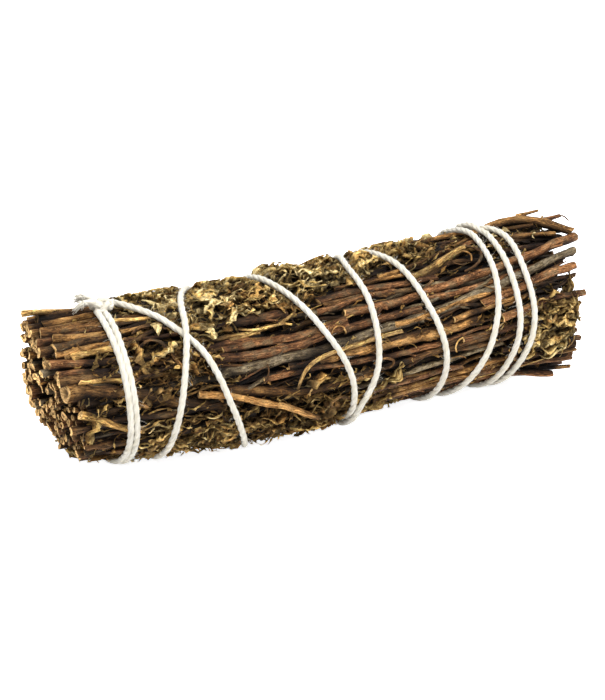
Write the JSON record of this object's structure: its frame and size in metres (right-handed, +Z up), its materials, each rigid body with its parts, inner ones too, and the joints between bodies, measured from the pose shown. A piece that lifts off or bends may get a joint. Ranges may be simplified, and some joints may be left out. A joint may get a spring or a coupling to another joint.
{
  "type": "smudge stick",
  "caption": "Hand-tied bundle of dried woody herb stems and crumpled leaves, bound from end to end with wound cotton twine.",
  "frame": {"origin": "centre of the bundle's footprint, on the surface it lies on", "axes": "+X along the bundle from its cut stem ends to its tips, +Z up, -Y towards the side with the crossing twine near the knot"},
  "size_m": [0.1272, 0.039, 0.0382],
  "materials": {
    "brown_bark": "matte",
    "grey_bark": "matte",
    "tan_bark": "matte",
    "dry_leaf": "matte",
    "cotton_twine": "matte"
  },
  "bodies": {
    "root": {"packed_leaves": "dry_leaf", "stem_01": "tan_bark", "stem_02": "grey_bark", "stem_03": "grey_bark", "stem_04": "tan_bark", "stem_05": "brown_bark", "stem_06": "brown_bark", "stem_07": "brown_bark", "stem_08": "grey_bark", "stem_09": "brown_bark", "stem_10": "brown_bark", "stem_11": "brown_bark", "stem_12": "brown_bark", "stem_13": "brown_bark", "stem_14": "tan_bark", "stem_15": "tan_bark", "stem_16": "brown_bark", "stem_17": "brown_bark", "stem_18": "tan_bark", "stem_19": "tan_bark", "stem_20": "grey_bark", "stem_21": "brown_bark", "stem_22": "brown_bark", "stem_23": "tan_bark", "stem_24": "brown_bark", "stem_25": "brown_bark", "stem_26": "tan_bark", "stem_27": "brown_bark", "stem_28": "brown_bark", "stem_29": "brown_bark", "stem_30": "grey_bark", "stem_31": "grey_bark", "stem_32": "grey_bark", "stem_33": "tan_bark", "stem_34": "brown_bark", "stem_35": "brown_bark", "stem_36": "brown_bark", "stem_37": "brown_bark", "stem_38": "brown_bark", "stem_39": "brown_bark", "stem_40": "brown_bark", "stem_41": "tan_bark", "stem_42": "brown_bark", "stem_43": "grey_bark", "stem_44": "brown_bark", "stem_45": "brown_bark", "stem_46": "brown_bark", "stem_47": "tan_bark", "stem_48": "grey_bark", "stem_49": "brown_bark", "twine": "cotton_twine"}
  },
  "joints": []
}
